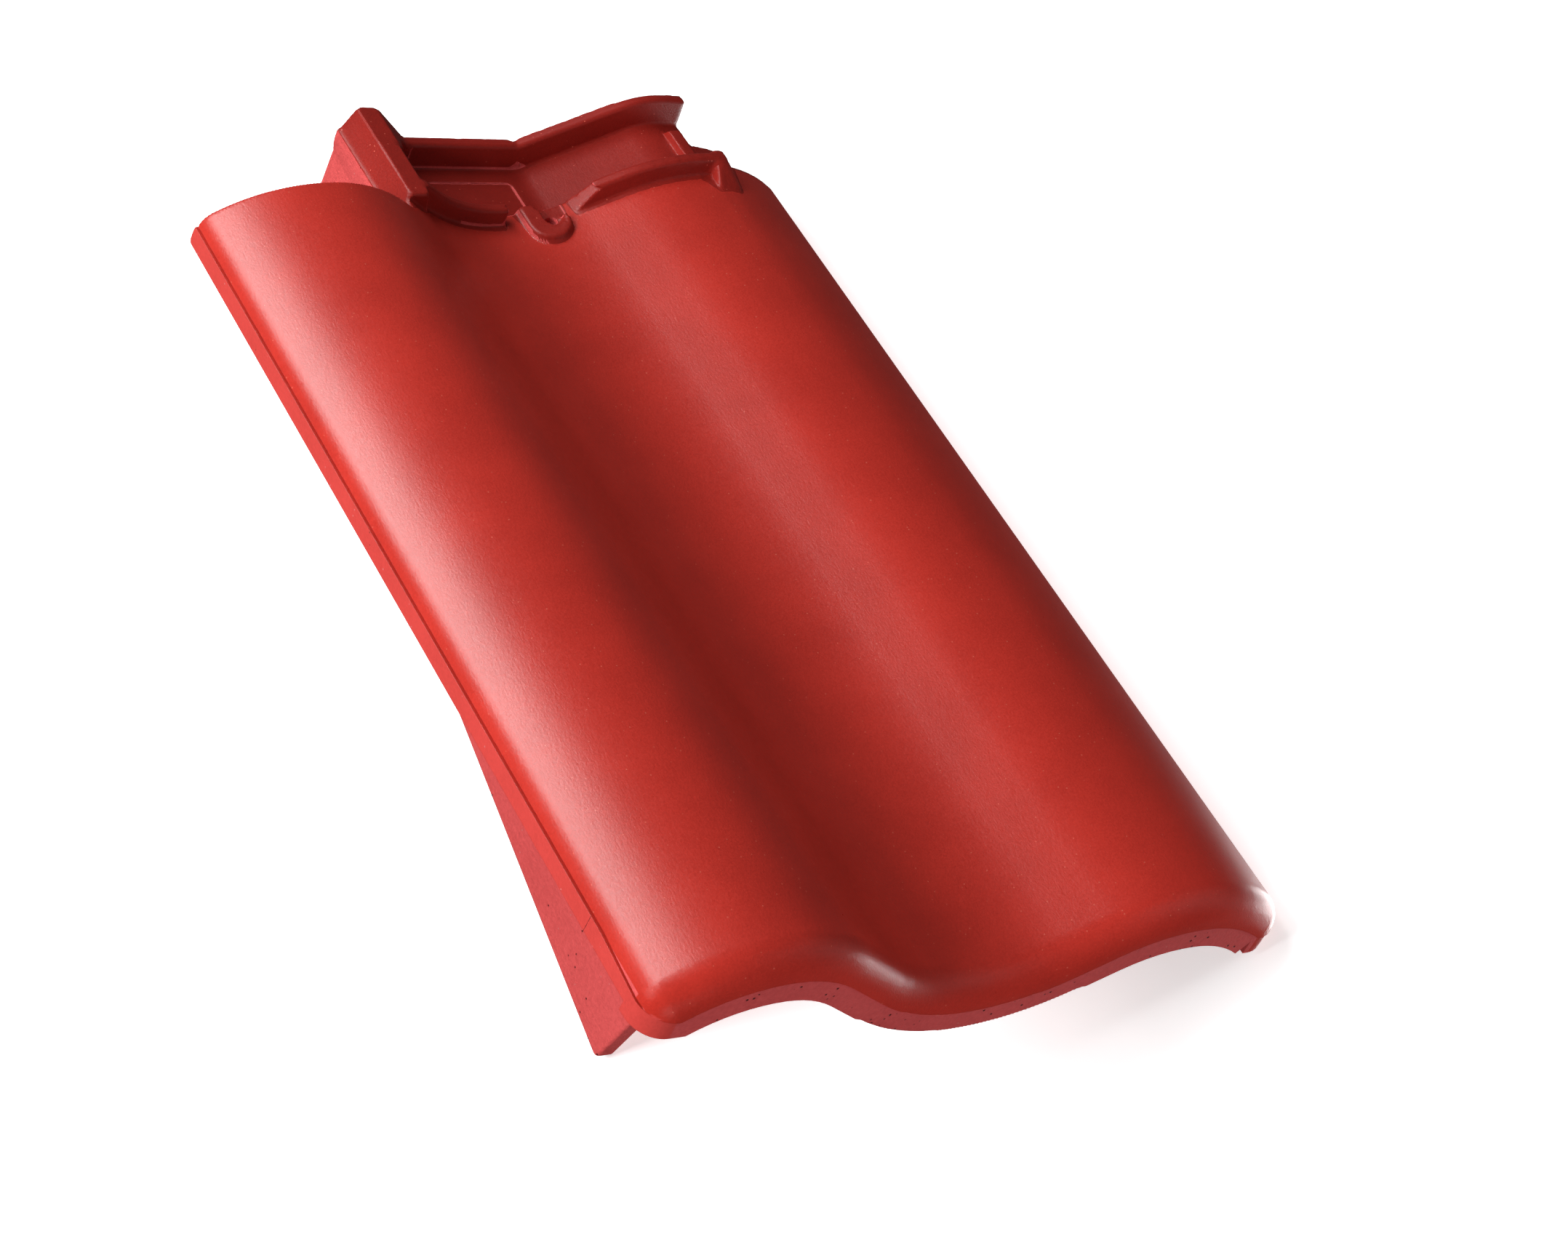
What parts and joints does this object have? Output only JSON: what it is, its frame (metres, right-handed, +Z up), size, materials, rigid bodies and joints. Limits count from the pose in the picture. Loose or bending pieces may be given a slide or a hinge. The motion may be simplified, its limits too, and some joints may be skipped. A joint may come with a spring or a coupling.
{
  "type": "clay verge roof tile",
  "caption": "Left-hand verge tile of fired clay: a waved body with a rolled side, a ribbed head lock with a nail hole, a batten lug and a hanging verge flap.",
  "frame": {"origin": "floor point under the middle of the bounding box, with the tile lying unheld on the tip of its flap and its right rim", "axes": "+Z up, +Y along the tile from its foot to its head, +X level across the tile towards its low right rim"},
  "size_m": [0.2528, 0.478, 0.1863],
  "materials": {
    "red_clay": "satin red engobe over fired clay, matte on cut faces"
  },
  "bodies": {
    "root": {"verge_tile": "red_clay"}
  },
  "joints": []
}
